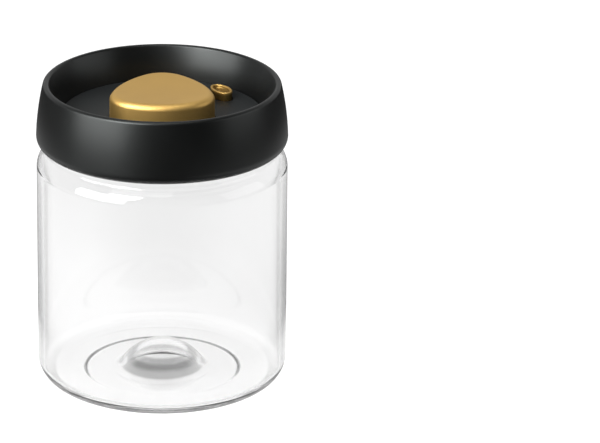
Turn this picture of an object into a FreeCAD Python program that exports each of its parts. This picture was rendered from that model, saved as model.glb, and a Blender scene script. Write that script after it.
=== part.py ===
import FreeCAD, Part
import math
import os

# A glass food canister with a hand vacuum pump in its lid. Lengths are in millimetres.
# The jar stands on Z = 0 with its axis on Z, and the front is the -Y side.

V = FreeCAD.Vector
UP = V(0, 0, 1)
TINY = 1e-6

# Fits and cuts
overrun = 1.0              # how far a cutting shape passes the face it opens
fit = 0.05                 # play of a piece in its seat
running_fit = 0.08         # play of a stem or a seal that slides
free_gap = 0.35            # gap round a button in its opening

# Glass jar
jar_radius = 52.5
jar_height = 109.6         # from the table to the rim
jar_wall = 2.4
jar_floor = 4.0
jar_outer_corner = 9.0
jar_inner_corner = 4.5
foot_width = 10.5          # flat ring that stands on the table
foot_recess = 1.2
foot_round_share = 1.6     # of the recess
punt_height = 10.9         # dome in the middle of the floor
punt_radius = 20.7         # where the dome runs out into the floor
punt_round = 4.0
shoulder_step = 4.0        # how far the shoulder draws in to the neck
shoulder_rise = 4.3
shoulder_round = 7.5
neck_height = 8.4
neck_round = 2.0
rim_round = 0.8

# Lid shell, with heights measured from the deck's top face
skirt_gap = 1.1            # between the neck and the skirt
skirt_edge = 1.2
skirt_drop = 12.4
barrel_overhang = 0.15     # past the jar's side
barrel_foot_drop = 9.0
barrel_waist_rise = 0.8
barrel_waist_inset = 0.75
barrel_top_rise = 12.5
barrel_top_inset = 2.8
crest_rise = 13.8
crest_inset = 4.35
dish_top_rise = 13.0
dish_top_inset = 5.5
dish_inset = 10.15         # from the barrel to the deck's edge
hollow_rise = 7.6          # top of the hollow between barrel and dish
hollow_wall = 2.3
hollow_top_width = 1.15
ledge = 2.4                # thickness of the ring that carries the deck
ledge_width = 6.1
ledge_web = 2.7
shell_screw_count = 4
shell_screw_first_angle = 85.0
shell_screw_inset = 2.5    # from the deck's edge to the screw's axis
shell_screw_head = 2.1     # radii and heights of the screws
shell_screw_head_height = 1.2
shell_screw_shank = 1.1
shell_counterbore = 1.3

# Deck plate
deck_thickness = 1.8
deck_edge_gap = 0.2
deck_edge_round = 0.3
hook_angles = (130.0, 220.0, 310.0)
hook_span_angle = 24.0
hook_wall = 1.1
hook_gap = 0.25
hook_bead = 1.2
hook_bead_height = 1.0

# Lid base, the plug in the jar's mouth
plug_gap = 0.9             # between the plug and the neck's bore
plug_wall = 2.2
plug_depth = 7.5
plug_round = 0.8
base_flange = 1.6
base_flange_gap = 0.3
base_floor = 2.0
base_fillet = 1.0
shell_boss_radius = 3.2
guide_boss_radius = 2.8
guide_boss_depth = 4.5
boss_end = 1.0             # closed end of a blind screw hole
screw_tip_gap = 0.4

# Mouth gasket
gasket_flange = 1.4
gasket_flange_reach = 3.5  # past the plug's side, over the rim
gasket_sleeve = 0.7
gasket_recess = 0.65
gasket_round = 0.4
gasket_lip_reach = 0.5
gasket_lip_half_height = 0.5
gasket_lip_drops = (2.7, 4.3)

# Pump cylinder and its seal
cylinder_bore = 12.0
cylinder_wall = 1.5
cylinder_floor = 1.8
cylinder_round = 1.0
cylinder_hole_gap = 0.3
cylinder_flange = 1.8
flange_land = 1.1          # outside the seal's groove
ear_radius = 3.0
ear_land = 0.55            # from the seal's groove to the ear's hole
ear_hole = 1.35
corner_angles = (90.0, 210.0, 330.0)
seal_groove_inset = 0.8    # from the cylinder's side to the groove
seal_groove_width = 1.6
seal_groove_depth = 1.2
seal_side_gap = 0.1
seal_round = 0.45
intake_hole_count = 6
intake_hole_radius = 0.9
intake_hole_reach = 4.2

# Stem guide
guide_plate = 1.8
guide_collar = 2.0
guide_collar_radius = 5.8
vent_hole_count = 6
vent_hole_radius = 1.2
vent_land = 0.8            # from the cylinder's bore to the holes
guide_screw_head = 2.3
guide_screw_head_height = 1.6
guide_screw_shank = 1.2

# Intake valve
valve_radius = 6.5
valve_crown = 1.2
valve_edge = 0.6
valve_stem = 1.5
valve_bulb = 2.3
valve_bulb_height = 1.4
valve_tail = 1.1
valve_tail_height = 1.6

# Pump button
pump_travel = 6.0
pump_rise = 10.9           # corner of the button above the deck
pump_corner_reach = 23.2
pump_side_share = 0.862    # of the corner's reach
pump_corner_share = 0.586
pump_dish_depth = 1.2
pump_edge_round = 2.7
pump_wall = 1.8
pump_roof = 2.2
pump_flange = 1.8
pump_flange_width = 1.4
socket_wall = 2.0
socket_gap = 0.5           # above the guide's collar at full travel

# Pump stem and piston
stem_radius = 4.0
stem_flange_radius = 6.6
stem_flange = 0.8
stem_headroom = 0.5        # under the guide at rest
spigot_radius = 3.0
spigot_end_gap = 0.3
flap_thickness = 0.6
flap_lap = 0.7             # past the exhaust holes
piston_height = 4.0
piston_gap = 0.4
piston_floor_gap = 0.6     # above the intake valve at full travel
piston_groove_depth = 1.6
piston_groove_height = 2.0
piston_groove_rise = 1.0
piston_seal_round = 0.6
exhaust_hole_count = 6
exhaust_hole_radius = 0.9
exhaust_land = 1.1         # from the seal's groove to the holes
piston_recess_radius = 3.6
piston_recess_depth = 1.8
piston_screw_head = 3.0
piston_screw_head_height = 1.5
piston_screw_shank = 1.25
piston_screw_length = 8.0

# Screw drive, a cross cut into the head
drive_span_share = 1.2     # of the head's radius
drive_width_share = 0.3
drive_depth_share = 0.5    # of the head's height
head_round_share = 0.45

# Release button and its valve
release_travel = 2.0
release_outset = 1.25      # from the middle between the pump button and the deck's edge
release_angle = 40.0
release_turn_angle = 120.0
release_half_length = 6.3
release_half_width = 3.8
release_rise = 3.6
release_rim = 1.1          # rim round the hollow for the fingertip
release_rim_round = 0.4
release_hollow_depth = 1.5
release_hollow_round = 0.8
release_roof = 1.7
release_flange = 1.6
release_flange_width = 1.2
release_bite_gap = 0.6
release_stem_radius = 1.6
vent_gap = 0.3             # air passage round the stem
vent_boss_wall = 1.3
vent_stop_gap = 0.2        # from the boss to the button at full travel
release_seal_radius = 4.6
release_seal_thickness = 1.4
release_seal_round = 0.3
clip_radius = 2.8
clip_thickness = 0.8
clip_slot_width = 2.0
clip_groove_depth = 0.3
stem_tail = 0.6

# Springs
pump_spring_radius = 7.7
pump_spring_wire = 0.55
pump_spring_turns = 5
release_spring_radius = 3.95
release_spring_wire = 0.25
release_spring_turns = 5
spring_end_gap = 0.05

# Radii that follow from the sizes above
neck_radius = jar_radius - shoulder_step
neck_bore = neck_radius - jar_wall
plug_radius = neck_bore - plug_gap
skirt_radius = neck_radius + skirt_gap
barrel_radius = jar_radius + barrel_overhang
dish_radius = barrel_radius - dish_inset
ledge_inner_radius = dish_radius - ledge_width
shell_screw_reach = dish_radius - shell_screw_inset
cylinder_radius = cylinder_bore + cylinder_wall
seal_groove_radius = cylinder_radius + seal_groove_inset
seal_groove_end = seal_groove_radius + seal_groove_width
flange_radius = seal_groove_end + flange_land
ear_reach = seal_groove_end + ear_land + ear_hole
vent_hole_reach = cylinder_bore - vent_land - vent_hole_radius
piston_radius = cylinder_bore - piston_gap
piston_groove_radius = piston_radius - piston_groove_depth
exhaust_hole_reach = piston_groove_radius - exhaust_land - exhaust_hole_radius
flap_radius = exhaust_hole_reach + exhaust_hole_radius + flap_lap
pump_side_reach = pump_corner_reach * pump_side_share
pump_corner_radius = pump_corner_reach * pump_corner_share
release_reach = (pump_side_reach + dish_radius) / 2 + release_outset
vent_radius = release_stem_radius + vent_gap

# Heights of the stack, from the rim of the jar upwards
flange_bottom = jar_height + gasket_flange
ledge_bottom = flange_bottom + base_flange
deck_bottom = ledge_bottom + ledge
deck_top = deck_bottom + deck_thickness
floor_bottom = flange_bottom - plug_depth
floor_top = floor_bottom + base_floor
guide_bottom = floor_top + cylinder_flange
guide_top = guide_bottom + guide_plate
collar_top = guide_top + guide_collar

# Heights of the pump, with the button at its upper stop under the deck
pump_top = deck_top + pump_rise
pump_ceiling = pump_top - pump_dish_depth - pump_roof
pump_bottom = deck_bottom - pump_flange
socket_bottom = collar_top + pump_travel + socket_gap
stem_flange_top = guide_bottom - stem_headroom
stem_flange_bottom = stem_flange_top - stem_flange
piston_top = stem_flange_bottom - flap_thickness
piston_bottom = piston_top - piston_height
piston_web = piston_bottom + piston_recess_depth
piston_groove_bottom = piston_bottom + piston_groove_rise
cylinder_floor_top = piston_bottom - pump_travel - piston_floor_gap - valve_crown
cylinder_bottom = cylinder_floor_top - cylinder_floor

# Heights of the release valve, with the vent shut
release_top = deck_top + release_rise
release_bottom = deck_bottom - release_flange
release_stem_top = release_top - release_hollow_depth - release_roof
vent_boss_top = release_bottom - release_travel - vent_stop_gap
release_seal_bottom = floor_bottom - release_seal_thickness
clip_bottom = release_seal_bottom - clip_thickness


def polar(reach, angle, height=0):
    """The point at a distance and an angle from the axis."""
    turn = math.radians(angle)
    return V(reach * math.cos(turn), reach * math.sin(turn), height)


def round_the_axis(count, first_angle=0):
    """Evenly spaced angles of a pattern about the axis."""
    return [first_angle + 360.0 * index / count for index in range(count)]


def rod(radius, bottom, top, spot=V(0, 0, 0)):
    """An upright cylinder between two heights."""
    return Part.makeCylinder(radius, top - bottom, V(spot.x, spot.y, bottom))


def rods(radius, bottom, top, reach, angles):
    """Equal upright cylinders about the axis."""
    return [rod(radius, bottom, top, polar(reach, angle)) for angle in angles]


def tangent_arc(start, corner, end):
    """The round arc between two points whose tangents meet at a corner."""
    middle = (start + end) * 0.5
    half_chord = start.distanceToPoint(end) / 2
    turn = math.acos(half_chord / start.distanceToPoint(corner))
    outward = (corner - middle).normalize()
    return Part.Arc(start, middle + outward * half_chord * math.tan(turn / 2), end).toShape()


def arc_into(start, end, heading):
    """The round arc that arrives at its end along a heading."""
    chord = end - start
    reach = chord.dot(chord) / (2 * chord.dot(heading))
    return tangent_arc(start, end - heading * reach, end)


def line(start, end):
    return Part.LineSegment(start, end).toShape()


def rounded_outline(corners):
    """Edges of a closed outline of (radius, height) corners. A third value rounds its corner."""
    spots = [V(corner[0], 0, corner[1]) for corner in corners]
    bends = []
    for index, corner in enumerate(corners):
        spot = spots[index]
        if len(corner) == 2:
            bends.append((spot, spot, spot))
            continue
        back = (spots[index - 1] - spot).normalize()
        ahead = (spots[(index + 1) % len(spots)] - spot).normalize()
        reach = corner[2] / math.tan(back.getAngle(ahead) / 2)
        bends.append((spot + back * reach, spot, spot + ahead * reach))
    edges = []
    for index, (start, spot, end) in enumerate(bends):
        last_end = bends[index - 1][2]
        if last_end.distanceToPoint(start) > TINY:
            edges.append(line(last_end, start))
        if start.distanceToPoint(end) > TINY:
            edges.append(tangent_arc(start, spot, end))
    return edges


def spun(edges, angle=360):
    """A solid turned about the axis from the edges of a closed outline."""
    face = Part.Face(Part.Wire(edges))
    solid = face.revolve(V(0, 0, 0), UP, angle)
    if solid.Volume < 0:
        solid.reverse()
    return solid


def turned(corners, angle=360):
    return spun(rounded_outline(corners), angle)


def prism(wire, bottom, top):
    """An upright solid on a flat closed wire."""
    face = Part.Face(wire)
    face.translate(V(0, 0, bottom))
    return face.extrude(V(0, 0, top - bottom))


def dished(solid, reach, depth, top, edge_radius):
    """Hollow the top with a shallow ball that leaves it at a given reach, and round its edge."""
    ball_radius = (reach ** 2 + depth ** 2) / (2 * depth)
    ball = Part.makeSphere(ball_radius, V(0, 0, top - depth + ball_radius), V(1, 0, 0))
    hollowed = solid.cut(ball)
    dish = [face for face in hollowed.Faces if isinstance(face.Surface, Part.Sphere)][0]
    return hollowed.makeFillet(edge_radius, dish.Edges)


def edges_at(solid, height):
    """Edges that lie level at a height."""
    return [edge for edge in solid.Edges
            if abs(edge.BoundBox.ZMin - height) < TINY and abs(edge.BoundBox.ZMax - height) < TINY]


def pump_outline(grow=0):
    """Rounded triangle with bowed sides, one corner to the back, grown evenly all round."""
    corner_reach = pump_corner_reach + grow
    side_reach = pump_side_reach + grow
    corner_radius = pump_corner_radius + grow
    spread = corner_reach - corner_radius
    flat = side_reach - corner_radius
    side_offset = (spread ** 2 - flat ** 2) / (2 * flat - spread)
    corners = []
    for angle in corner_angles:
        centre = polar(spread, angle)
        ends = []
        for side_angle in (angle + 120, angle + 240):
            outward = (centre - polar(side_offset, side_angle)).normalize()
            ends.append(centre + outward * corner_radius)
        corners.append(ends)
    edges = []
    for index, angle in enumerate(corner_angles):
        start, end = corners[index]
        next_start = corners[(index + 1) % len(corners)][0]
        edges.append(Part.Arc(start, polar(corner_reach, angle), end).toShape())
        edges.append(Part.Arc(end, polar(side_reach, angle + 60), next_start).toShape())
    return Part.Wire(edges)


def release_outline(grow=0):
    """Oval about the release button's axis, grown along both half lengths."""
    oval = Part.Ellipse(V(0, 0, 0), release_half_length + grow, release_half_width + grow).toShape()
    oval.rotate(V(0, 0, 0), UP, release_turn_angle)
    oval.translate(polar(release_reach, release_angle))
    return Part.Wire([oval])


def screw(head_radius, head_height, shank_radius, length):
    """Pan head screw with a cross drive, its head standing on Z = 0 and its shank below."""
    head = turned([(0, 0), (head_radius, 0),
                   (head_radius, head_height, head_height * head_round_share), (0, head_height)])
    depth = head_height * drive_depth_share
    long_side = head_radius * drive_span_share
    short_side = head_radius * drive_width_share
    for size_x, size_y in ((long_side, short_side), (short_side, long_side)):
        corner = V(-size_x / 2, -size_y / 2, head_height - depth)
        head = head.cut(Part.makeBox(size_x, size_y, depth + overrun, corner))
    return head.fuse(rod(shank_radius, -length, 0)).removeSplitter()


def placed(shape, spot):
    copy = shape.copy()
    copy.translate(spot)
    return copy


def glass_jar():
    """Blown jar with a foot ring, a domed floor, a drawn-in shoulder and a plain neck."""
    slope_share = punt_height / punt_radius
    punt_crown = (punt_radius ** 2 + punt_height ** 2) / (2 * punt_height) - punt_round
    punt_top = jar_floor + punt_height
    floor_wall = jar_floor - foot_recess
    under_crown = punt_crown - floor_wall
    under_round = punt_round + floor_wall
    foot_inner = jar_radius - jar_outer_corner - foot_width
    foot_round = foot_recess * foot_round_share
    bore = jar_radius - jar_wall
    neck_base = jar_height - neck_height
    shoulder = neck_base - shoulder_rise
    inner_drop = jar_wall * math.tan(math.atan2(shoulder_step, shoulder_rise) / 2)
    return turned([
        (0, punt_top - floor_wall),
        (under_crown * slope_share, punt_top - floor_wall, under_crown),
        (punt_radius - under_round * slope_share, foot_recess, under_round),
        (foot_inner - foot_recess, foot_recess, foot_round),
        (foot_inner, 0, foot_round),
        (jar_radius, 0, jar_outer_corner),
        (jar_radius, shoulder, shoulder_round),
        (neck_radius, neck_base, neck_round),
        (neck_radius, jar_height, rim_round),
        (neck_bore, jar_height, rim_round),
        (neck_bore, neck_base - inner_drop, neck_round + jar_wall),
        (bore, shoulder - inner_drop, shoulder_round - jar_wall),
        (bore, jar_floor, jar_inner_corner),
        (punt_radius - punt_round * slope_share, jar_floor, punt_round),
        (punt_crown * slope_share, punt_top, punt_crown),
        (0, punt_top)])


def lid_shell():
    """Moulded barrel with a round lip, a dish inside it and a ledge for the deck."""
    def spot(radius, rise):
        return V(radius, 0, deck_top + rise)

    skirt_inside = spot(skirt_radius, -skirt_drop)
    skirt_outside = spot(skirt_radius + skirt_edge, -skirt_drop)
    barrel_foot = spot(barrel_radius, -barrel_foot_drop)
    barrel_waist = spot(barrel_radius - barrel_waist_inset, barrel_waist_rise)
    barrel_top = spot(barrel_radius - barrel_top_inset, barrel_top_rise)
    crest = spot(barrel_radius - crest_inset, crest_rise)
    dish_top_radius = barrel_radius - dish_top_inset
    dish_top = spot(dish_top_radius, dish_top_rise)
    hollow_radius = dish_radius + (dish_top_radius - dish_radius) * hollow_rise / dish_top_rise + hollow_wall
    inside = [
        dish_top,
        spot(dish_radius, 0),
        spot(dish_radius, -deck_thickness),
        V(ledge_inner_radius, 0, deck_bottom),
        V(ledge_inner_radius, 0, ledge_bottom),
        V(dish_radius + ledge_web, 0, ledge_bottom),
        spot(hollow_radius, hollow_rise),
        spot(hollow_radius + hollow_top_width, hollow_rise),
        V(skirt_radius, 0, ledge_bottom),
        skirt_inside,
        skirt_outside]
    edges = [
        arc_into(skirt_outside, barrel_foot, UP),
        Part.Arc(barrel_foot, barrel_waist, barrel_top).toShape(),
        arc_into(barrel_top, crest, V(-1, 0, 0)),
        arc_into(dish_top, crest, V(1, 0, 0))]
    edges.extend(line(start, end) for start, end in zip(inside, inside[1:]))
    shell = spun(edges)
    bite = prism(release_outline(release_flange_width + release_bite_gap),
                 ledge_bottom - overrun, deck_bottom)
    angles = round_the_axis(shell_screw_count, shell_screw_first_angle)
    holes = rods(shell_screw_shank + running_fit, ledge_bottom - overrun, deck_bottom,
                 shell_screw_reach, angles)
    seats = rods(shell_screw_head + hook_gap, deck_bottom - shell_counterbore, deck_bottom,
                 shell_screw_reach, angles)
    return shell.cut([bite] + holes + seats)


def deck_plate():
    """Floor of the dish, open for both buttons, with three snap hooks under the ledge."""
    edge = dish_radius - deck_edge_gap
    plate = turned([(0, deck_bottom), (edge, deck_bottom), (edge, deck_top, deck_edge_round), (0, deck_top)])
    hook_outside = ledge_inner_radius - hook_gap
    hook_inside = hook_outside - hook_wall
    bead_top = ledge_bottom - hook_gap
    bead_bottom = bead_top - hook_bead_height
    hooks = []
    for angle in hook_angles:
        hook = turned([
            (hook_inside, deck_bottom),
            (hook_inside, bead_bottom),
            (hook_outside, bead_bottom),
            (hook_outside + hook_bead, bead_top),
            (hook_outside, bead_top),
            (hook_outside, deck_bottom)], hook_span_angle)
        hook.rotate(V(0, 0, 0), UP, angle - hook_span_angle / 2)
        hooks.append(hook)
    openings = [
        prism(pump_outline(free_gap), deck_bottom - overrun, deck_top + overrun),
        prism(release_outline(free_gap), deck_bottom - overrun, deck_top + overrun)]
    return plate.fuse(hooks).cut(openings).removeSplitter()


def lid_base():
    """Plug with a flange over the rim, a gasket recess, screw bosses and the vent bore."""
    inside = plug_radius - plug_wall
    recess = plug_radius - gasket_recess
    flange_edge = skirt_radius - base_flange_gap
    hole = cylinder_radius + cylinder_hole_gap
    base = turned([
        (hole, floor_bottom),
        (plug_radius, floor_bottom, plug_round),
        (plug_radius, floor_top),
        (recess, floor_top),
        (recess, flange_bottom),
        (flange_edge, flange_bottom),
        (flange_edge, ledge_bottom),
        (inside, ledge_bottom),
        (inside, floor_top, base_fillet),
        (hole, floor_top)])
    shell_angles = round_the_axis(shell_screw_count, shell_screw_first_angle)
    vent_spot = polar(release_reach, release_angle)
    bosses = rods(shell_boss_radius, floor_bottom, ledge_bottom, shell_screw_reach, shell_angles)
    bosses += rods(guide_boss_radius, floor_bottom - guide_boss_depth, floor_top, ear_reach, corner_angles)
    bosses.append(rod(vent_radius + vent_boss_wall, floor_bottom, vent_boss_top, vent_spot))
    holes = rods(shell_screw_shank + fit, floor_top + boss_end, ledge_bottom + overrun,
                 shell_screw_reach, shell_angles)
    holes += rods(guide_screw_shank + fit, floor_bottom - guide_boss_depth + boss_end, floor_top + overrun,
                  ear_reach, corner_angles)
    holes.append(rod(vent_radius, floor_bottom - overrun, vent_boss_top + overrun, vent_spot))
    return base.fuse(bosses).cut(holes).removeSplitter()


def mouth_gasket():
    """Silicone ring: a flange on the jar's rim and a sleeve with sealing lips on the plug."""
    inner = plug_radius - gasket_recess + fit
    outer = inner + gasket_sleeve
    reach = plug_radius + gasket_flange_reach
    corners = [
        (inner, flange_bottom),
        (reach, flange_bottom, gasket_round),
        (reach, jar_height, gasket_round),
        (outer, jar_height)]
    for drop in gasket_lip_drops:
        middle = flange_bottom - drop
        corners += [
            (outer, middle + gasket_lip_half_height),
            (outer + gasket_lip_reach, middle),
            (outer, middle - gasket_lip_half_height)]
    corners += [(outer, floor_top + fit), (inner, floor_top + fit)]
    return turned(corners)


def pump_cylinder():
    """Cup that hangs through the lid base, with a three-eared flange and intake holes."""
    cup = turned([
        (0, cylinder_bottom),
        (cylinder_radius, cylinder_bottom, cylinder_round),
        (cylinder_radius, floor_top),
        (flange_radius, floor_top),
        (flange_radius, guide_bottom),
        (cylinder_bore, guide_bottom),
        (cylinder_bore, cylinder_floor_top),
        (0, cylinder_floor_top)])
    ears = rods(ear_radius, floor_top, guide_bottom, ear_reach, corner_angles)
    groove = turned([
        (seal_groove_radius, floor_top - overrun),
        (seal_groove_end, floor_top - overrun),
        (seal_groove_end, floor_top + seal_groove_depth),
        (seal_groove_radius, floor_top + seal_groove_depth)])
    below = cylinder_bottom - overrun
    above = cylinder_floor_top + overrun
    holes = rods(ear_hole, floor_top - overrun, guide_bottom + overrun, ear_reach, corner_angles)
    holes += rods(intake_hole_radius, below, above, intake_hole_reach, round_the_axis(intake_hole_count))
    holes.append(rod(valve_stem + fit, below, above))
    return cup.fuse(ears).cut([groove] + holes).removeSplitter()


def cylinder_seal():
    """Ring pressed between the cylinder's flange and the floor of the lid base."""
    inner = seal_groove_radius + seal_side_gap
    outer = seal_groove_end - seal_side_gap
    top = floor_top + seal_groove_depth - fit
    return turned([
        (inner, floor_top, seal_round),
        (outer, floor_top, seal_round),
        (outer, top, seal_round),
        (inner, top, seal_round)])


def stem_guide():
    """Three-eared cap of the cylinder, with a collar round the stem and vent holes."""
    hole = stem_radius + running_fit
    plate = turned([
        (hole, guide_bottom),
        (flange_radius, guide_bottom),
        (flange_radius, guide_top),
        (guide_collar_radius, guide_top),
        (guide_collar_radius, collar_top),
        (hole, collar_top)])
    ears = rods(ear_radius, guide_bottom, guide_top, ear_reach, corner_angles)
    below = guide_bottom - overrun
    above = guide_top + overrun
    holes = rods(ear_hole, below, above, ear_reach, corner_angles)
    holes += rods(vent_hole_radius, below, above, vent_hole_reach, round_the_axis(vent_hole_count))
    return plate.fuse(ears).cut(holes).removeSplitter()


def intake_valve():
    """Rubber umbrella on the cylinder's floor, with a bulb that holds it from below."""
    bulb_bottom = cylinder_bottom - valve_bulb_height
    return turned([
        (0, cylinder_floor_top + valve_crown),
        (valve_stem, cylinder_floor_top + valve_crown),
        (valve_radius, cylinder_floor_top + valve_edge),
        (valve_radius, cylinder_floor_top),
        (valve_stem, cylinder_floor_top),
        (valve_stem, cylinder_bottom),
        (valve_bulb, cylinder_bottom),
        (valve_tail, bulb_bottom),
        (valve_tail, bulb_bottom - valve_tail_height),
        (0, bulb_bottom - valve_tail_height)])


def guide_screws():
    length = guide_top - floor_bottom + guide_boss_depth - boss_end - screw_tip_gap
    one = screw(guide_screw_head, guide_screw_head_height, guide_screw_shank, length)
    return Part.makeCompound([placed(one, polar(ear_reach, angle, guide_top)) for angle in corner_angles])


def shell_screws():
    seat = deck_bottom - shell_counterbore
    length = seat - floor_top - boss_end - screw_tip_gap
    one = screw(shell_screw_head, shell_screw_head_height, shell_screw_shank, length)
    angles = round_the_axis(shell_screw_count, shell_screw_first_angle)
    return Part.makeCompound([placed(one, polar(shell_screw_reach, angle, seat)) for angle in angles])


def pump_button():
    """Hollow cap with a dished top, a retaining flange and a socket for the stem."""
    cap = prism(pump_outline(), pump_bottom, pump_top)
    cap = dished(cap, pump_corner_reach, pump_dish_depth, pump_top, pump_edge_round)
    flange = prism(pump_outline(pump_flange_width), pump_bottom, deck_bottom)
    cavity = prism(pump_outline(-pump_wall), pump_bottom - overrun, pump_ceiling)
    bore_radius = stem_radius + fit
    socket = rod(bore_radius + socket_wall, socket_bottom, pump_ceiling + overrun)
    bore = rod(bore_radius, socket_bottom - overrun, pump_ceiling)
    return cap.fuse(flange).cut(cavity).fuse(socket).cut(bore).removeSplitter()


def pump_stem():
    """Rod from the button to the piston, with a flange that clamps the exhaust flap."""
    spigot_bottom = piston_web + spigot_end_gap
    stem = turned([
        (0, spigot_bottom),
        (spigot_radius, spigot_bottom),
        (spigot_radius, stem_flange_bottom),
        (stem_flange_radius, stem_flange_bottom),
        (stem_flange_radius, stem_flange_top),
        (stem_radius, stem_flange_top),
        (stem_radius, pump_ceiling),
        (0, pump_ceiling)])
    hole_top = piston_web + piston_screw_length + screw_tip_gap
    return stem.cut(rod(piston_screw_shank + fit, spigot_bottom - overrun, hole_top))


def piston():
    """Disc with a seal groove, a ring of exhaust holes and a recess for the screw's head."""
    groove_top = piston_groove_bottom + piston_groove_height
    disc = turned([
        (0, piston_bottom),
        (piston_radius, piston_bottom),
        (piston_radius, piston_groove_bottom),
        (piston_groove_radius, piston_groove_bottom),
        (piston_groove_radius, groove_top),
        (piston_radius, groove_top),
        (piston_radius, piston_top),
        (0, piston_top)])
    below = piston_bottom - overrun
    above = piston_top + overrun
    holes = rods(exhaust_hole_radius, below, above, exhaust_hole_reach, round_the_axis(exhaust_hole_count))
    holes.append(rod(spigot_radius + fit, below, above))
    holes.append(rod(piston_recess_radius, below, piston_web))
    return disc.cut(holes)


def piston_seal():
    bottom = piston_groove_bottom + fit
    top = piston_groove_bottom + piston_groove_height - fit
    inner = piston_groove_radius + fit
    outer = cylinder_bore - running_fit
    return turned([
        (inner, bottom), (outer, bottom, piston_seal_round), (outer, top, piston_seal_round), (inner, top)])


def exhaust_flap():
    """Thin rubber ring over the exhaust holes, clamped at its inner edge."""
    flap = rod(flap_radius, piston_top, stem_flange_bottom)
    return flap.cut(rod(spigot_radius + fit, piston_top - overrun, stem_flange_bottom + overrun))


def piston_screw():
    """Screw from below, its head in the piston's recess."""
    one = screw(piston_screw_head, piston_screw_head_height, piston_screw_shank, piston_screw_length)
    one.rotate(V(0, 0, 0), V(1, 0, 0), 180)
    return placed(one, V(0, 0, piston_web))


def release_button():
    """Small oval button with a hollowed top, a retaining flange and a socket for its stem."""
    spot = polar(release_reach, release_angle)
    hollow_floor = release_top - release_hollow_depth
    hollow = prism(release_outline(-release_rim), hollow_floor, release_top + overrun)
    hollow = hollow.makeFillet(release_hollow_round, edges_at(hollow, hollow_floor))
    cap = prism(release_outline(), release_bottom, release_top).cut(hollow)
    cap = cap.makeFillet(release_rim_round, edges_at(cap, release_top))
    flange = prism(release_outline(release_flange_width), release_bottom, deck_bottom)
    socket = rod(release_stem_radius + fit, release_bottom - overrun, release_stem_top, spot)
    return cap.fuse(flange).cut(socket).removeSplitter()


def release_stem():
    """Pin through the vent bore, grooved near its lower end for the clip."""
    bottom = clip_bottom - stem_tail
    groove = release_stem_radius - clip_groove_depth
    pin = turned([
        (0, bottom),
        (release_stem_radius, bottom),
        (release_stem_radius, clip_bottom),
        (groove, clip_bottom),
        (groove, release_seal_bottom),
        (release_stem_radius, release_seal_bottom),
        (release_stem_radius, release_stem_top),
        (0, release_stem_top)])
    return placed(pin, polar(release_reach, release_angle))


def release_seal():
    """Rubber washer that closes the vent bore from below."""
    hole = release_stem_radius + fit
    washer = turned([
        (hole, release_seal_bottom),
        (release_seal_radius, release_seal_bottom, release_seal_round),
        (release_seal_radius, floor_bottom, release_seal_round),
        (hole, floor_bottom)])
    return placed(washer, polar(release_reach, release_angle))


def release_clip():
    """Open retaining clip in the stem's groove."""
    hole = release_stem_radius - clip_groove_depth + fit
    clip = turned([
        (hole, clip_bottom + fit),
        (clip_radius, clip_bottom + fit),
        (clip_radius, release_seal_bottom),
        (hole, release_seal_bottom)])
    slot_corner = V(0, -clip_slot_width / 2, clip_bottom - overrun)
    slot = Part.makeBox(clip_radius + overrun, clip_slot_width, clip_thickness + 2 * overrun, slot_corner)
    return placed(clip.cut(slot), polar(release_reach, release_angle))


def biarc(start, heading, end, arrival):
    """Two round arcs that leave along one heading and arrive along another."""
    chord = end - start
    along = chord.dot(heading + arrival)
    spread = 2 * (1 - heading.dot(arrival))
    reach = (math.sqrt(along ** 2 + spread * chord.dot(chord)) - along) / spread
    first_corner = start + heading * reach
    last_corner = end - arrival * reach
    join = (first_corner + last_corner) * 0.5
    return [tangent_arc(start, first_corner, join), tangent_arc(join, last_corner, end)]


def coil_spring(name, radius, wire, turns, seat, end):
    """Helical spring between two faces, as one tube on arcs of half a turn."""
    foot = seat + wire + spring_end_gap
    pitch = (end - wire - spring_end_gap - foot) / turns

    def spot(turn):
        return polar(radius, 360 * turn, foot + pitch * turn)

    def heading(turn):
        ahead = polar(radius, 360 * turn + 90)
        return V(ahead.x, ahead.y, pitch / (2 * math.pi)).normalize()

    edges = []
    for half in range(2 * turns):
        start, stop = half / 2, (half + 1) / 2
        edges += biarc(spot(start), heading(start), spot(stop), heading(stop))
    path = Part.Wire(edges)
    section = Part.Wire(Part.Circle(spot(0), heading(0), wire).toShape())
    tube = path.makePipeShell([section], True, False)
    steps = 48
    points = [spot(index / steps) for index in range(steps * turns + 1)]
    nearest = min(points[index].distanceToPoint(point)
                  for index in range(len(points))
                  for point in points[index + steps // 2:])
    print(name, "least gap to itself", round(nearest - 2 * wire, 3), "mm")
    return tube


def pump_spring():
    return coil_spring("pump_spring", pump_spring_radius, pump_spring_wire, pump_spring_turns,
                       guide_top, pump_ceiling)


def release_spring():
    spring = coil_spring("release_spring", release_spring_radius, release_spring_wire,
                         release_spring_turns, floor_top, release_bottom)
    return placed(spring, polar(release_reach, release_angle))


pieces = [
    glass_jar, lid_shell, deck_plate, lid_base, mouth_gasket, pump_cylinder, cylinder_seal, stem_guide,
    intake_valve, guide_screws, shell_screws, pump_spring, release_spring, pump_button, pump_stem, piston,
    piston_seal, exhaust_flap, piston_screw, release_button, release_stem, release_seal, release_clip]

os.makedirs("parts", exist_ok=True)
for piece in pieces:
    piece().exportStep("parts/" + piece.__name__ + ".step")
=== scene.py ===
import math

import bmesh
import bpy
from mathutils import Matrix, Vector


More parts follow.
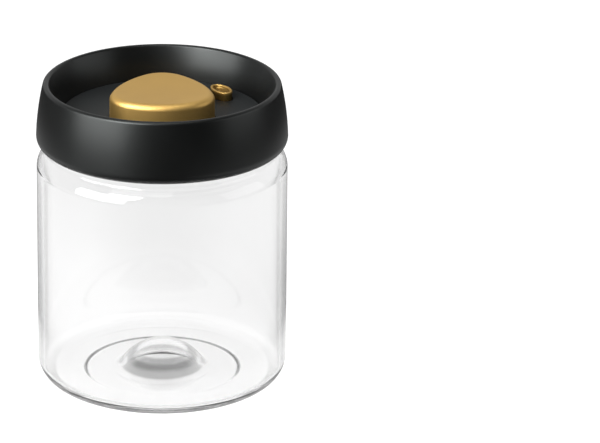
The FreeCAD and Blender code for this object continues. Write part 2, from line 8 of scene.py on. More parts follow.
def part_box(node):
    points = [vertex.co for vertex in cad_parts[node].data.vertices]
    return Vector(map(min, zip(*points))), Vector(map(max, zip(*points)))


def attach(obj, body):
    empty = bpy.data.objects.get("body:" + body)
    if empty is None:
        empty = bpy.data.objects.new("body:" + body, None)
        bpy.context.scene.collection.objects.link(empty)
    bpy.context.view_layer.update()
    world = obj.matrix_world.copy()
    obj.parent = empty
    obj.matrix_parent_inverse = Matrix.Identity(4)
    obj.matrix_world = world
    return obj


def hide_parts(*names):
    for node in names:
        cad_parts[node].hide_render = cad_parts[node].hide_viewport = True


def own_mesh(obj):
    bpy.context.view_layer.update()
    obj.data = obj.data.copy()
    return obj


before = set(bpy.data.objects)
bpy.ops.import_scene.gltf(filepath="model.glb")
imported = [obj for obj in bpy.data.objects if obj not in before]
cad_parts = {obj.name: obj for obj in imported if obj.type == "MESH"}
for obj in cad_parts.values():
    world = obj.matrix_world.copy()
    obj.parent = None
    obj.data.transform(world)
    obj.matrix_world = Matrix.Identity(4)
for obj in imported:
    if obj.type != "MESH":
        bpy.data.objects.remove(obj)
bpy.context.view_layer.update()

MM = 0.001
ROUND_STEPS = 192          # points round a turned piece
ARC_STEPS = 10             # points along a rounded corner
SHARP_ANGLE = math.radians(32)
SAME_POINT = 1e-7          # points nearer than this are one point
ORIGIN = Vector((0, 0))

# Camera, fitted to the photograph's 600 x 443 frame
image_width, image_height = 600, 443
photo_focal = 4880.5       # in pixels
photo_target = (161.7, 259.9)
camera_elevation = math.radians(21.65)
camera_distance = 2060 * MM
camera_target = Vector((0, 0, 50.8 * MM))
sensor_width = 36.0

# Jar
jar_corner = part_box("glass_jar")[1]
jar_radius = jar_corner.x
jar_height = jar_corner.z
jar_wall = 2.4 * MM
jar_floor = 4.0 * MM
jar_outer_corner = 9.0 * MM
jar_inner_corner = 4.5 * MM
foot_width = 10.5 * MM
foot_recess = 1.2 * MM
foot_round = 1.92 * MM
punt_height = 10.9 * MM
punt_radius = 20.7 * MM
punt_round = 4.0 * MM
shoulder_step = 4.0 * MM
shoulder_rise = 4.3 * MM
shoulder_round = 7.5 * MM
neck_height = 8.4 * MM
neck_round = 2.0 * MM
rim_round = 0.8 * MM
jar_arc_steps = 20

# Lid shell, with heights from the deck's top face
shell_low, shell_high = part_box("lid_shell")
deck_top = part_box("deck_plate")[1].z
deck_thickness = 1.8 * MM
deck_bottom = deck_top - deck_thickness
ledge = 2.4 * MM
ledge_width = 6.1 * MM
ledge_web = 2.7 * MM
skirt_gap = 1.1 * MM
skirt_edge = 1.2 * MM
barrel_foot_drop = 9.0 * MM
barrel_overhang = 0.15 * MM
barrel_waist_rise = 0.8 * MM
barrel_waist_inset = 0.75 * MM
barrel_top_rise = 12.5 * MM
barrel_top_inset = 2.8 * MM
barrel_steps = 24
crest_inset = 4.35 * MM
dish_top_rise = 13.0 * MM
dish_top_inset = 5.5 * MM
dish_inset = 10.15 * MM
hollow_rise = 7.6 * MM
hollow_wall = 2.3 * MM
hollow_top_width = 1.15 * MM

# Lid fasteners under the deck
shell_screw_count = 4
shell_screw_first = math.radians(85)
shell_screw_inset = 2.5 * MM
shell_screw_hole = 1.18 * MM
shell_screw_seat = 2.35 * MM
shell_counterbore = 1.3 * MM
shell_screw_steps = 32

# Buttons
pump_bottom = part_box("pump_button")[0].z
pump_rise = 10.9 * MM
pump_top = deck_top + pump_rise
pump_corner_reach = 23.2 * MM
pump_side_reach = 0.862 * pump_corner_reach
pump_corner_radius = 0.586 * pump_corner_reach
pump_dish_depth = 1.2 * MM
pump_edge_round = 2.7 * MM
pump_wall = 1.8 * MM
pump_roof = 2.2 * MM
pump_flange_width = 1.4 * MM
pump_socket_bore = 4.05 * MM
pump_socket_wall = 2.0 * MM
pump_socket_rise = 0.8 * MM
pump_socket_bottom = deck_top + pump_socket_rise
release_low, release_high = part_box("release_button")
release_spot = ((release_low + release_high) / 2).xy
release_turn = math.radians(120)
release_half_length = 6.3 * MM
release_half_width = 3.8 * MM
release_top = release_high.z
release_rim = 1.1 * MM
release_rim_round = 0.4 * MM
release_hollow_depth = 1.5 * MM
release_hollow_round = 0.8 * MM
release_roof = 1.7 * MM
release_socket_bore = 1.65 * MM
release_flange_width = 1.2 * MM
release_bite_gap = 0.6 * MM

# Springs
spring_turns = 5
pump_coil_radius = 7.7 * MM
pump_coil_wire = 0.55 * MM
release_coil_radius = 3.95 * MM
release_coil_wire = 0.25 * MM

# Zones over which the painted shade of the glass changes, as (from, to) distances from the axis or
# heights
wall_zone = 44 * MM, 47 * MM
foot_zone = 3 * MM, 12 * MM
shoulder_zone = 90 * MM, 97 * MM
upper_zone = 54 * MM, 84 * MM
flank_inner_zone = 11 * MM, 12.5 * MM
flank_outer_zone = 15.5 * MM, 17 * MM

# Painted shade greys of the glass that faces the eye, with the slants between which they fade
flank_shade_grey, flank_slant = 0.7, (0.22, 0.46)
upper_shadow_grey, upper_slant = 0.08, (0.08, 0.26)

# Height over which painted shade darkens the release button's gold below its rim
hollow_shade_fade = 1.4 * MM

# Floor, with zones over which its painted glow in mirrors and its painted shade under the jar change
floor_half = 40.0
floor_drop = 0.2 * MM
jar_shade_zone = 42 * MM, 58 * MM
near_zone = 70 * MM, 105 * MM
side_zone = 40 * MM, 220 * MM
far_zone = 260 * MM, 420 * MM

# Where the lamps aim
lid_aim = 0, 0, 0.12
shoulder_aim = 0, 0, 0.1


# Outlines and meshes

def turn_points(centre, start, angle, steps=ARC_STEPS):
    """Points on a round arc from a start, turned about a centre."""
    turns = [Matrix.Rotation(angle * step / steps, 2) for step in range(steps + 1)]
    return [centre + turn @ (start - centre) for turn in turns]


def rounded(corners, steps=ARC_STEPS):
    """Points of a closed outline of (radius, height) corners. A third value rounds its corner."""
    points = []
    for index, corner in enumerate(corners):
        here = Vector(corner[:2])
        if len(corner) == 2:
            points.append(here)
            continue
        back = (Vector(corners[index - 1][:2]) - here).normalized()
        ahead = (Vector(corners[(index + 1) % len(corners)][:2]) - here).normalized()
        half = back.angle(ahead) / 2
        start = here + back * corner[2] / math.tan(half)
        centre = here + (back + ahead).normalized() * corner[2] / math.sin(half)
        side = 1 if back.cross(ahead) < 0 else -1
        points += turn_points(centre, start, side * (math.pi - 2 * half), steps)
    return points


def arc_through(start, via, end, steps):
    """Points on the circle through three points."""
    first, second = via - start, end - start
    twice_area = 2 * first.cross(second)
    offset = Vector((second.y * first.length_squared - first.y * second.length_squared,
                     first.x * second.length_squared - second.x * first.length_squared)) / twice_area
    centre = start + offset
    angle = (start - centre).angle_signed(end - centre)
    return turn_points(centre, start, -angle, steps)


def lip_arc(start, crest, steps=ARC_STEPS):
    """Points on the arc that rises from a start to lie level at a crest."""
    run, rise = start.x - crest.x, crest.y - start.y
    radius = (run ** 2 + rise ** 2) / (2 * rise)
    centre = Vector((crest.x, crest.y - radius))
    angle = (start - centre).angle_signed(crest - centre)
    return turn_points(centre, start, -angle, steps)


def side_arc(start, side, steps=ARC_STEPS):
    """Points on the arc that runs from a start to stand upright at a side."""
    run, rise = side.x - start.x, side.y - start.y
    radius = (run ** 2 + rise ** 2) / (2 * run)
    centre = Vector((side.x - radius, side.y))
    angle = (start - centre).angle_signed(side - centre)
    return turn_points(centre, start, -angle, steps)


def without_repeats(points):
    """Points without those that repeat the one before."""
    kept = []
    for point in points:
        if not kept or (point - kept[-1]).length > SAME_POINT:
            kept.append(point)
    return kept


def finished(name, bm, body, node, material):
    """Turn a bmesh into a shaded piece that stands for a CAD node and rides on its body."""
    bmesh.ops.recalc_face_normals(bm, faces=bm.faces)
    mesh = bpy.data.meshes.new(name)
    bm.to_mesh(mesh)
    bm.free()
    mesh.shade_smooth()
    mesh.set_sharp_from_angle(angle=SHARP_ANGLE)
    piece = bpy.data.objects.new(name, mesh)
    bpy.context.scene.collection.objects.link(piece)
    mesh.materials.append(material)
    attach(piece, body)
    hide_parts(node)
    return piece


def bridge(bm, first, second):
    """Faces between two rings of vertices, either of which may be a single vertex."""
    count = max(len(first), len(second))
    for index in range(count):
        after = (index + 1) % count
        corners = [first[index % len(first)], first[after % len(first)],
                   second[after % len(second)], second[index % len(second)]]
        bm.faces.new(dict.fromkeys(corners))


def skinned(loops, closed=False):
    """Mesh through loops of points, of which the first and the last may be single points."""
    bm = bmesh.new()
    rings = [[bm.verts.new(point) for point in loop] for loop in loops]
    for first, second in zip(rings, rings[1:] + (rings[:1] if closed else [])):
        bridge(bm, first, second)
    return bm


def level(points, height):
    """Plan points at a height."""
    return [(*point, height) for point in points]


def circle(radius, centre=ORIGIN, count=ROUND_STEPS):
    """Points round a circle, or the centre alone where the radius is zero."""
    if radius < SAME_POINT:
        return [centre]
    angles = [2 * math.pi * step / count for step in range(count)]
    return [centre + radius * Vector((math.cos(angle), math.sin(angle))) for angle in angles]


def turned(outline, closed):
    """Mesh of an outline of (radius, height) points turned about the axis."""
    return skinned([level(circle(radius), height) for radius, height in without_repeats(outline)], closed)


# Materials

def new_material(name):
    """A node material and its Principled shader."""
    material = bpy.data.materials.new(name)
    material.use_nodes = True
    return material, material.node_tree, material.node_tree.nodes["Principled BSDF"]


def add_noise(tree, scale, detail=2.0):
    """Noise in the piece's own space."""
    place = tree.nodes.new("ShaderNodeTexCoord")
    noise = tree.nodes.new("ShaderNodeTexNoise")
    noise.inputs["Scale"].default_value = scale
    noise.inputs["Detail"].default_value = detail
    tree.links.new(place.outputs["Object"], noise.inputs["Vector"])
    return noise.outputs["Fac"]


def add_range(tree, value, low, high):
    """A value between 0 and 1 spread over a new range."""
    spread = tree.nodes.new("ShaderNodeMapRange")
    spread.inputs["To Min"].default_value = low
    spread.inputs["To Max"].default_value = high
    tree.links.new(value, spread.inputs["Value"])
    return spread.outputs["Result"]


def add_tint(tree, value, dark, light):
    """A colour between two colours."""
    ramp = tree.nodes.new("ShaderNodeValToRGB")
    ramp.color_ramp.elements[0].color = (*dark, 1)
    ramp.color_ramp.elements[1].color = (*light, 1)
    tree.links.new(value, ramp.inputs["Fac"])
    return ramp.outputs["Color"]


def add_bump(tree, shader, height, distance, strength):
    """Fine relief on a shader."""
    bump = tree.nodes.new("ShaderNodeBump")
    bump.inputs["Distance"].default_value = distance
    bump.inputs["Strength"].default_value = strength
    tree.links.new(height, bump.inputs["Height"])
    tree.links.new(bump.outputs["Normal"], shader.inputs["Normal"])


def moulded(name, dark, light, rough_low, rough_high, gloss=(1, 1, 1)):
    """Matte moulded plastic or rubber: fine spark-eroded grain, and slow shifts of tone and gloss."""
    material, tree, shader = new_material(name)
    cloud = add_noise(tree, 60.0, 3.0)
    grain = add_noise(tree, 2600.0, 2.0)
    tree.links.new(add_tint(tree, cloud, dark, light), shader.inputs["Base Color"])
    tree.links.new(add_range(tree, cloud, rough_low, rough_high), shader.inputs["Roughness"])
    add_bump(tree, shader, grain, 0.010 * MM, 0.35)
    shader.inputs["Specular Tint"].default_value = (*gloss, 1)
    return material


def satin_metal(name, dark, light, rough_low, rough_high, rim=None):
    """Satin metal finish: even blasted grain under a metallic sheen, with painted shade below a rim's
    height.
    """
    material, tree, shader = new_material(name)
    cloud = add_noise(tree, 90.0, 3.0)
    grain = add_noise(tree, 3200.0, 2.0)
    shader.inputs["Metallic"].default_value = 1.0
    tint = add_tint(tree, cloud, dark, light)
    if rim is not None:
        # Painted shade: the gold darkens below the rim, in the hollow
        shade = add_blend(tree, add_axes(tree)["Z"], rim - hollow_shade_fade, rim, 0.36, 1.0)
        tint = add_scaled(tree, tint, shade)
    tree.links.new(tint, shader.inputs["Base Color"])
    tree.links.new(add_range(tree, cloud, rough_low, rough_high), shader.inputs["Roughness"])
    add_bump(tree, shader, grain, 0.008 * MM, 0.3)
    return material


def add_steps(tree, value, steps):
    """A grey that follows (place, tone) steps over a value between 0 and 1."""
    ramp = tree.nodes.new("ShaderNodeValToRGB")
    elements = ramp.color_ramp.elements
    for place, tone in steps[1:-1]:
        elements.new(place)
    for element, (place, tone) in zip(elements, steps):
        element.position = place
        element.color = (tone, tone, tone, 1)
    tree.links.new(value, ramp.inputs["Fac"])
    return ramp.outputs["Color"]


def add_blend(tree, value, low, high, at_low, at_high):
    """A value that changes smoothly while another goes from low to high."""
    blend = tree.nodes.new("ShaderNodeMapRange")
    blend.interpolation_type = "SMOOTHSTEP"
    blend.inputs["From Min"].default_value = low
    blend.inputs["From Max"].default_value = high
    blend.inputs["To Min"].default_value = at_low
    blend.inputs["To Max"].default_value = at_high
    tree.links.new(value, blend.inputs["Value"])
    return blend.outputs["Result"]


def add_axes(tree, output="Object"):
    """The X, Y and Z of the shaded point."""
    place = tree.nodes.new("ShaderNodeTexCoord")
    axes = tree.nodes.new("ShaderNodeSeparateXYZ")
    tree.links.new(place.outputs[output], axes.inputs["Vector"])
    return axes.outputs


def add_math(tree, operation, first, second):
    """One step of arithmetic on values or plain numbers."""
    step = tree.nodes.new("ShaderNodeMath")
    step.operation = operation
    for socket, value in zip(step.inputs, (first, second)):
        if isinstance(value, (int, float)):
            socket.default_value = value
        else:
            tree.links.new(value, socket)
    return step.outputs["Value"]


def add_reach(tree):
    """The distance of the shaded point from the axis."""
    axes = add_axes(tree)
    squares = [add_math(tree, "POWER", axes[axis], 2.0) for axis in "XY"]
    return add_math(tree, "SQRT", add_math(tree, "ADD", *squares), 0.0)


def add_product(tree, values):
    """The product of several values."""
    product = values[0]
    for value in values[1:]:
        product = add_math(tree, "MULTIPLY", product, value)
    return product


def add_scaled(tree, colour, share):
    """A colour times a value."""
    scaled = tree.nodes.new("ShaderNodeVectorMath")
    scaled.operation = "SCALE"
    tree.links.new(colour, scaled.inputs[0])
    tree.links.new(share, scaled.inputs["Scale"])
    return scaled.outputs["Vector"]


def clear_glass(name):
    """Clear blown glass with a faint waviness.

    Its colour holds painted shade: greyer near the outline of its wall and where the dome's flank faces
    the eye, and a painted shadow where the upper wall faces the eye.
    """
    material, tree, shader = new_material(name)
    slant = tree.nodes.new("ShaderNodeLayerWeight")
    slant.inputs["Blend"].default_value = 0.5
    facing = slant.outputs["Facing"]
    reach = add_reach(tree)
    height = add_axes(tree)["Z"]
    on_wall = add_blend(tree, reach, *wall_zone, 0.0, 1.0)
    # Painted shade near the outline of the wall, weaker at the foot and towards the shoulder
    edge = add_steps(tree, facing, [
        (0.60, 1.0), (0.66, 0.95), (0.72, 0.86), (0.765, 0.55),
        (0.80, 0.5), (0.84, 0.65), (0.90, 0.85), (1.0, 0.9)])
    wall_painted_shade = add_product(tree, [
        add_math(tree, "SUBTRACT", 1.0, edge),
        on_wall,
        add_blend(tree, height, *foot_zone, 0.5, 1.0),
        add_blend(tree, height, *shoulder_zone, 1.0, 0.4)])
    # Painted shade on the dome's flank where it faces the eye
    dome_painted_shade = add_product(tree, [
        add_blend(tree, facing, *flank_slant, flank_shade_grey, 0.0),
        add_blend(tree, reach, *flank_inner_zone, 0.0, 1.0),
        add_blend(tree, reach, *flank_outer_zone, 1.0, 0.0)])
    # Painted shadow on the upper wall where it faces the eye
    upper_painted_shadow = add_product(tree, [
        add_blend(tree, facing, *upper_slant, upper_shadow_grey, 0.0),
        on_wall,
        add_blend(tree, height, *upper_zone, 0.0, 1.0)])
    painted_glass_shade = add_math(tree, "ADD", wall_painted_shade, add_math(tree, "ADD", dome_painted_shade, upper_painted_shadow))
    tone = add_math(tree, "SUBTRACT", 1.0, painted_glass_shade)
    tree.links.new(tone, shader.inputs["Base Color"])
    shader.inputs["Roughness"].default_value = 0.0
    shader.inputs["IOR"].default_value = 1.5
    shader.inputs["Transmission Weight"].default_value = 1.0
    add_bump(tree, shader, add_noise(tree, 28.0, 1.0), 0.02 * MM, 0.25)
    return material


glass = clear_glass("clear_glass")
cool_gloss = (0.95, 1.0, 0.985)
black_plastic = moulded(
    "black_plastic", (0.002, 0.0021, 0.0021), (0.0034, 0.0036, 0.0036), 0.33, 0.38, cool_gloss)
deck_plastic = moulded(
    "deck_plastic", (0.009, 0.0105, 0.0112), (0.013, 0.0148, 0.0155), 0.5, 0.58, cool_gloss)
inner_plastic = moulded("inner_plastic", (0.02, 0.02, 0.021), (0.028, 0.028, 0.029), 0.4, 0.5)
silicone = moulded("silicone", (0.55, 0.55, 0.53), (0.64, 0.64, 0.62), 0.45, 0.6)
gold_tones = (0.76, 0.49, 0.155), (0.82, 0.54, 0.175), 0.46, 0.52
gold = satin_metal("gold_metal", *gold_tones)
gold_with_hollow_shade = satin_metal("gold_metal_painted_hollow_shade", *gold_tones, rim=release_top)
steel = satin_metal("steel", (0.55, 0.55, 0.56), (0.64, 0.64, 0.65), 0.18, 0.28)


# Jar

def jar_outline():
    """Section of the jar, from under the dome round the outside and back to the dome's top."""
    slope_share = punt_height / punt_radius
    punt_crown = (punt_radius ** 2 + punt_height ** 2) / (2 * punt_height) - punt_round
    punt_top = jar_floor + punt_height
    floor_wall = jar_floor - foot_recess
    under_crown = punt_crown - floor_wall
    under_round = punt_round + floor_wall
    foot_inner = jar_radius - jar_outer_corner - foot_width
    bore = jar_radius - jar_wall
    neck_radius = jar_radius - shoulder_step
    neck_bore = neck_radius - jar_wall
    neck_base = jar_height - neck_height
    shoulder = neck_base - shoulder_rise
    inner_drop = jar_wall * math.tan(math.atan2(shoulder_step, shoulder_rise) / 2)
    return rounded([
        (0, punt_top - floor_wall),
        (under_crown * slope_share, punt_top - floor_wall, under_crown),
        (punt_radius - under_round * slope_share, foot_recess, under_round),
        (foot_inner - foot_recess, foot_recess, foot_round),
        (foot_inner, 0, foot_round),
        (jar_radius, 0, jar_outer_corner),
        (jar_radius, shoulder, shoulder_round),
        (neck_radius, neck_base, neck_round),
        (neck_radius, jar_height, rim_round),
        (neck_bore, jar_height, rim_round),
        (neck_bore, neck_base - inner_drop, neck_round + jar_wall),
        (bore, shoulder - inner_drop, shoulder_round - jar_wall),
        (bore, jar_floor, jar_inner_corner),
        (punt_radius - punt_round * slope_share, jar_floor, punt_round),
        (punt_crown * slope_share, punt_top, punt_crown),
        (0, punt_top)], jar_arc_steps)


jar_glass = finished("jar_glass", turned(jar_outline(), False), "jar", "glass_jar", glass)
jar_glass.visible_shadow = False


# Lid shell

def shell_outline():
    """Section of the lid shell: barrel, lip, dish, ledge and the hollow behind the dish."""
    def spot(radius, rise):
        return Vector((radius, deck_top + rise))

    barrel_radius = jar_radius + barrel_overhang
    skirt_radius = jar_radius - shoulder_step + skirt_gap
    dish_radius = barrel_radius - dish_inset
    dish_top_radius = barrel_radius - dish_top_inset
    ledge_radius = dish_radius - ledge_width
    ledge_bottom = deck_bottom - ledge
    dish_widening = (dish_top_radius - dish_radius) * hollow_rise / dish_top_rise
    hollow_radius = dish_radius + dish_widening + hollow_wall
    skirt_outside = Vector((skirt_radius + skirt_edge, shell_low.z))
    barrel_foot = spot(barrel_radius, -barrel_foot_drop)
    barrel_waist = spot(barrel_radius - barrel_waist_inset, barrel_waist_rise)
    barrel_top = spot(barrel_radius - barrel_top_inset, barrel_top_rise)
    crest = Vector((barrel_radius - crest_inset, shell_high.z))
    dish_top = spot(dish_top_radius, dish_top_rise)
    outline = side_arc(skirt_outside, barrel_foot)
    outline += arc_through(barrel_foot, barrel_waist, barrel_top, barrel_steps)
    outline += lip_arc(barrel_top, crest)
    outline += reversed(lip_arc(dish_top, crest))
    outline += [
        spot(dish_radius, 0),
        Vector((dish_radius, deck_bottom)),
        Vector((ledge_radius, deck_bottom)),
        Vector((ledge_radius, ledge_bottom)),
        Vector((dish_radius + ledge_web, ledge_bottom)),
        spot(hollow_radius, hollow_rise),
        spot(hollow_radius + hollow_top_width, hollow_rise),
        Vector((skirt_radius, ledge_bottom)),
        Vector((skirt_radius, shell_low.z))]
    return outline


def cutter(points, bottom, top):
    """A closed upright solid on a plan outline, for cutting."""
    middle = [sum(points, ORIGIN) / len(points)]
    return skinned([level(middle, bottom), level(points, bottom), level(points, top), level(middle, top)])


def cut_away(bm, cutters):
    """A mesh with the cutters' shapes taken out of it."""
    def linked(name, source):
        bmesh.ops.recalc_face_normals(source, faces=source.faces)
        mesh = bpy.data.meshes.new(name)
        source.to_mesh(mesh)
        source.free()
        piece = bpy.data.objects.new(name, mesh)
        bpy.context.scene.collection.objects.link(piece)
        return piece

    body = linked("cut_body", bm)
    tools = [linked("cut_tool", tool) for tool in cutters]
    for tool in tools:
        cut = body.modifiers.new("cut", "BOOLEAN")
        cut.operation = "DIFFERENCE"
        cut.solver = "EXACT"
        cut.object = tool
    result = bmesh.new()
    result.from_object(body, bpy.context.evaluated_depsgraph_get())
    for piece in [body] + tools:
        bpy.data.meshes.remove(piece.data)
    return result


def release_points(grow=0, count=96):
    """Points round the release button's oval, about its own centre."""
    turn = Matrix.Rotation(release_turn, 2)
    angles = [2 * math.pi * step / count for step in range(count)]
    return [turn @ Vector(((release_half_length + grow) * math.cos(angle),
                           (release_half_width + grow) * math.sin(angle))) for angle in angles]


def shell_cutters():
    """The bite for the release button's flange, and the seats and holes of the four screws."""
    below = deck_bottom - 2 * ledge
    seat_bottom = deck_bottom - shell_counterbore
    reach = jar_radius + barrel_overhang - dish_inset - shell_screw_inset
    bite = release_points(release_flange_width + release_bite_gap)
    tools = [cutter([release_spot + point for point in bite], below, deck_bottom)]
    for index in range(shell_screw_count):
        angle = shell_screw_first + 2 * math.pi * index / shell_screw_count
        spot = reach * Vector((math.cos(angle), math.sin(angle)))
        for radius, bottom in ((shell_screw_seat, seat_bottom), (shell_screw_hole, below)):
            tools.append(cutter(circle(radius, spot, shell_screw_steps), bottom, deck_bottom))
    return tools


lid_barrel = cut_away(turned(shell_outline(), True), shell_cutters())
finished("lid_barrel", lid_barrel, "lid", "lid_shell", black_plastic)


# Buttons

def pump_ring(count=240):
    """Points and outward normals round the rounded triangle, one corner to the back."""
    spread = pump_corner_reach - pump_corner_radius
    flat = pump_side_reach - pump_corner_radius
    side_offset = (spread ** 2 - flat ** 2) / (2 * flat - spread)
    side_radius = pump_side_reach + side_offset
    third = 2 * math.pi / 3
    side_arm = side_offset * Vector((math.cos(third / 2), math.sin(third / 2)))
    corner_half = math.atan2(side_arm.y, spread + side_arm.x)
    ring = []
    for step in range(count):
        angle = 2 * math.pi * step / count
        normal = Vector((math.cos(angle), math.sin(angle)))
        corner = math.pi / 2 + round((angle - math.pi / 2) / third) * third
        if abs(angle - corner) < corner_half:
            point = Vector((math.cos(corner), math.sin(corner))) * spread + normal * pump_corner_radius
        else:
            side = corner + math.copysign(third / 2, angle - corner)
            point = normal * side_radius - Vector((math.cos(side), math.sin(side))) * side_offset
        ring.append((point, normal))
    return ring


def pump_cap():
    """Hollow cap with a socket for the stem, a flange under the deck and a rolled edge.

    Its top is dished by a ball.
    """
    ring = pump_ring()
    ball = (pump_corner_reach ** 2 + pump_dish_depth ** 2) / (2 * pump_dish_depth)
    ceiling = pump_top - pump_dish_depth - pump_roof

    def dish_height(radius):
        return pump_top - pump_dish_depth + ball - math.sqrt(ball ** 2 - radius ** 2)

    def grown(grow):
        return [point + normal * grow for point, normal in ring]

    def spokes(radius):
        return [normal * radius for point, normal in ring]

    socket = pump_socket_bore + pump_socket_wall
    loops = [
        level([ORIGIN], ceiling),
        level(spokes(pump_socket_bore), ceiling),
        level(spokes(pump_socket_bore), pump_socket_bottom),
        level(spokes(socket), pump_socket_bottom),
        level(spokes(socket), ceiling),
        level(grown(-pump_wall), ceiling),
        level(grown(-pump_wall), pump_bottom),
        level(grown(pump_flange_width), pump_bottom),
        level(grown(pump_flange_width), deck_bottom),
        level(grown(0), deck_bottom)]
    edge_steps = 12
    for step in range(edge_steps + 1):
        edge = []
        for point, normal in ring:
            lean = math.asin(point.length / ball)
            drop = pump_edge_round * (math.cos(lean) + (1 + math.sin(lean)) * math.tan(lean))
            angle = (math.pi / 2 + lean) * step / edge_steps
            inset = pump_edge_round * (1 - math.cos(angle))
            height = dish_height(point.length) - drop + pump_edge_round * math.sin(angle)
            edge.append((*(point - normal * inset), height))
        loops.append(edge)
    inner = [Vector(corner[:2]) for corner in loops[-1]]
    dish_steps = 16
    for step in range(1, dish_steps):
        share = 1 - step / dish_steps
        loops.append([(*(point * share), dish_height(point.length * share)) for point in inner])
    loops.append(level([ORIGIN], pump_top - pump_dish_depth))
    return skinned(loops)


def release_cap():
    """Oval cap with a bore for its stem, a flange under the deck and a hollowed top with a round rim."""
    hollow_floor = release_top - release_hollow_depth
    stem_top = hollow_floor - release_roof
    section = rounded([
        (release_flange_width, release_low.z),
        (release_flange_width, deck_bottom),
        (0, deck_bottom),
        (0, release_top, release_rim_round),
        (-release_rim, release_top, release_rim_round),
        (-release_rim, hollow_floor, release_hollow_round),
        (-release_rim - release_hollow_round, hollow_floor)])
    count = len(release_points())
    bore = circle(release_socket_bore, ORIGIN, count)
    loops = [level([ORIGIN], stem_top), level(bore, stem_top), level(bore, release_low.z)]
    loops += [level(release_points(grow), height) for grow, height in without_repeats(section)]
    loops.append(level([ORIGIN], hollow_floor))
    bm = skinned(loops)
    bmesh.ops.translate(bm, verts=bm.verts, vec=(*release_spot, 0))
    return bm


finished("pump_cap", pump_cap(), "pump", "pump_button", gold)
finished("release_cap", release_cap(), "release", "release_button", gold_with_hollow_shade)


# Springs, as coils that fill their nodes' boxes

def coil(low, high, radius, wire, turn_steps=48, wire_steps=12):
    """A helical wire that fills the height between two corners of a box."""
    axis = ((low + high) / 2).xy
    foot = low.z + wire
    pitch = (high.z - low.z - 2 * wire) / spring_turns
    spots = []
    rings = []
    for step in range(spring_turns * turn_steps + 1):
        turn = step / turn_steps
        angle = 2 * math.pi * turn
        outward = Vector((math.cos(angle), math.sin(angle), 0))
        along = Vector((-outward.y, outward.x, pitch / (2 * math.pi * radius))).normalized()
        upward = outward.cross(along)
        spot = Vector((*axis, foot + pitch * turn)) + outward * radius
        spots.append([spot])
        rings.append([spot + point.x * outward + point.y * upward
                      for point in circle(wire, ORIGIN, wire_steps)])
    return skinned([spots[0]] + rings + [spots[-1]])


def add_spring(name, node, radius, wire):
    """A coil in place of a spring's node, that fills the node's box."""
    low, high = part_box(node)
    piece = finished(name, coil(low, high, radius, wire), "lid", node, steel)
    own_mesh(piece)


add_spring("pump_coil", "pump_spring", pump_coil_radius, pump_coil_wire)
add_spring("release_coil", "release_spring", release_coil_radius, release_coil_wire)


# Finishes of the CAD pieces

node_finish = {
    "deck_plate": deck_plastic,
    "lid_base": inner_plastic,
    "pump_cylinder": inner_plastic,
    "stem_guide": inner_plastic,
    "pump_stem": inner_plastic,
    "piston": inner_plastic,
    "release_stem": inner_plastic,
    "mouth_gasket": silicone,
    "cylinder_seal": silicone,
    "intake_valve": silicone,
    "piston_seal": silicone,
    "exhaust_flap": silicone,
    "release_seal": silicone,
    "guide_screws": steel,
    "shell_screws": steel,
    "piston_screw": steel,
    "release_clip": steel}
for node, material in node_finish.items():
    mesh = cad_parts[node].data
    mesh.materials.clear()
    mesh.materials.append(material)


# Floor, light and camera

def add_seen(tree, by_camera, through_glass, in_gloss):
    """A value by the kind of ray: from the camera, through glass or mirrored, and zero for any other."""
    path = tree.nodes.new("ShaderNodeLightPath").outputs
    mirrored = add_math(tree, "GREATER_THAN", path["Is Glossy Ray"], path["Is Transmission Ray"])
    total = 0.0
    kinds = ((path["Is Camera Ray"], by_camera),
             (path["Is Transmission Ray"], through_glass),
             (mirrored, in_gloss))
    for kind, value in kinds:
        total = add_math(tree, "ADD", add_math(tree, "MULTIPLY", kind, value), total)
    return total


def floor_material():
    """Pale floor that reads white, through the glass also, with painted shade under the jar, and takes
    the object's shadow.

    What mirrors it sees darker paint as painted shade, with a painted glow near the jar and a softer one
    at both sides.
    """
    material, tree, shader = new_material("white_floor")
    # Painted shade for mirrors: the floor's paint is darker in glossy rays
    paint_with_gloss_shade = add_seen(tree, 0.3, 0.3, 0.06)
    shade = tree.nodes.new("ShaderNodeCombineColor")
    for channel in ("Red", "Green", "Blue"):
        tree.links.new(paint_with_gloss_shade, shade.inputs[channel])
    tree.links.new(shade.outputs["Color"], shader.inputs["Base Color"])
    shader.inputs["Roughness"].default_value = 0.9
    shader.inputs["Specular IOR Level"].default_value = 0.0
    shader.inputs["Emission Color"].default_value = (1, 1, 1, 1)
    reach = add_reach(tree)
    # Painted glow seen only in mirrors, near the jar and at both sides
    painted_glow_near_jar = add_blend(tree, reach, *near_zone, 0.75, 0.0)
    # Painted shade under the jar, for what is seen through the glass
    shade_under_jar = add_blend(tree, reach, *jar_shade_zone, 0.38, 0.62)
    sideways = add_math(tree, "ABSOLUTE", add_axes(tree)["X"], 0.0)
    painted_glow_beside = add_product(tree, [
        add_blend(tree, sideways, *side_zone, 0.0, 0.8),
        add_blend(tree, reach, *far_zone, 1.0, 0.0)])
    mirrored = add_math(tree, "MAXIMUM", painted_glow_near_jar, painted_glow_beside)
    tree.links.new(add_seen(tree, 0.85, shade_under_jar, mirrored), shader.inputs["Emission Strength"])
    return material


def add_floor():
    """The floor under the part, which belongs to the stage."""
    bm = bmesh.new()
    corners = ((-1, -1), (1, -1), (1, 1), (-1, 1))
    bm.faces.new([bm.verts.new((x * floor_half, y * floor_half, -floor_drop)) for x, y in corners])
    mesh = bpy.data.meshes.new("studio_floor")
    bm.to_mesh(mesh)
    bm.free()
    mesh.materials.append(floor_material())
    floor = bpy.data.objects.new("studio_floor", mesh)
    bpy.context.scene.collection.objects.link(floor)


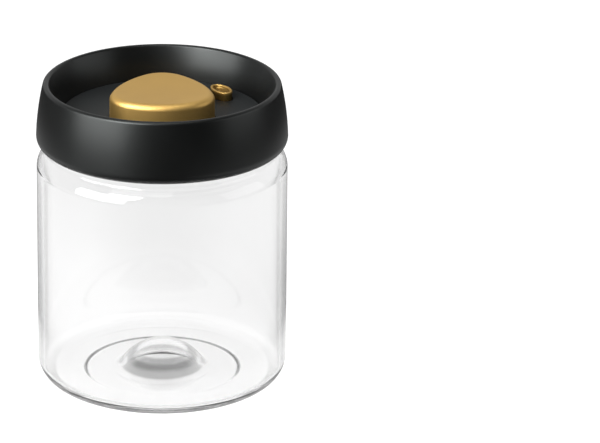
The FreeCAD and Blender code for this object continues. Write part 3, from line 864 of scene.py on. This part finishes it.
def add_area(name, place, aim, size_x, size_y, watts):
    """A rectangular lamp, which the camera sees neither straight nor through glass."""
    light = bpy.data.lights.new(name, "AREA")
    light.shape = "RECTANGLE"
    light.size = size_x
    light.size_y = size_y
    light.energy = watts
    lamp = bpy.data.objects.new(name, light)
    lamp.location = place
    lamp.rotation_mode = "QUATERNION"
    lamp.rotation_quaternion = (Vector(aim) - Vector(place)).to_track_quat("-Z", "Y")
    lamp.visible_camera = False
    lamp.visible_transmission = False
    bpy.context.scene.collection.objects.link(lamp)


def add_world():
    """White where it is seen, and for light a pale backdrop that fades to a dim front."""
    world = bpy.data.worlds.new("studio")
    bpy.context.scene.world = world
    world.use_nodes = True
    tree = world.node_tree
    backdrop = add_blend(tree, add_axes(tree, "Generated")["Y"], -0.2, 0.85, 0.015, 0.55)
    bright = add_math(tree, "MAXIMUM", backdrop, add_seen(tree, 1.0, 1.0, 0.0))
    background = tree.nodes["Background"]
    background.inputs["Color"].default_value = (1, 1, 1, 1)
    tree.links.new(bright, background.inputs["Strength"])


def add_camera():
    """Camera at the photograph's viewpoint, turned so that the object falls where the photo has it."""
    back = Vector((0, -math.cos(camera_elevation), math.sin(camera_elevation)))
    straight = (-back).to_track_quat("-Z", "Y")
    side_step = ((image_width - 1) / 2 - photo_target[0]) / photo_focal
    up_step = (photo_target[1] - (image_height - 1) / 2) / photo_focal
    aim = -back + (straight @ Vector((1, 0, 0))) * side_step + (straight @ Vector((0, 1, 0))) * up_step
    data = bpy.data.cameras.new("photo_camera")
    data.sensor_width = sensor_width
    data.lens = photo_focal / image_width * sensor_width
    data.clip_end = 100
    camera = bpy.data.objects.new("photo_camera", data)
    camera.location = camera_target + back * camera_distance
    camera.rotation_mode = "QUATERNION"
    camera.rotation_quaternion = (-back).rotation_difference(aim) @ straight
    bpy.context.scene.collection.objects.link(camera)
    bpy.context.scene.camera = camera


add_floor()
add_world()
add_area("key_left", (-0.93, -0.58, 0.46), lid_aim, 1.1, 0.9, 17)
add_area("fill_right", (1.18, -0.2, 0.46), lid_aim, 1.0, 0.9, 3)
add_area("top_soft", (-0.15, -0.25, 1.3), shoulder_aim, 0.9, 0.9, 4)
add_area("front_soft", (-0.74, -0.88, 1.06), shoulder_aim, 0.7, 0.6, 18)
add_camera()
bpy.context.scene.view_settings.view_transform = "Standard"
bpy.context.scene.cycles.glossy_bounces = 12
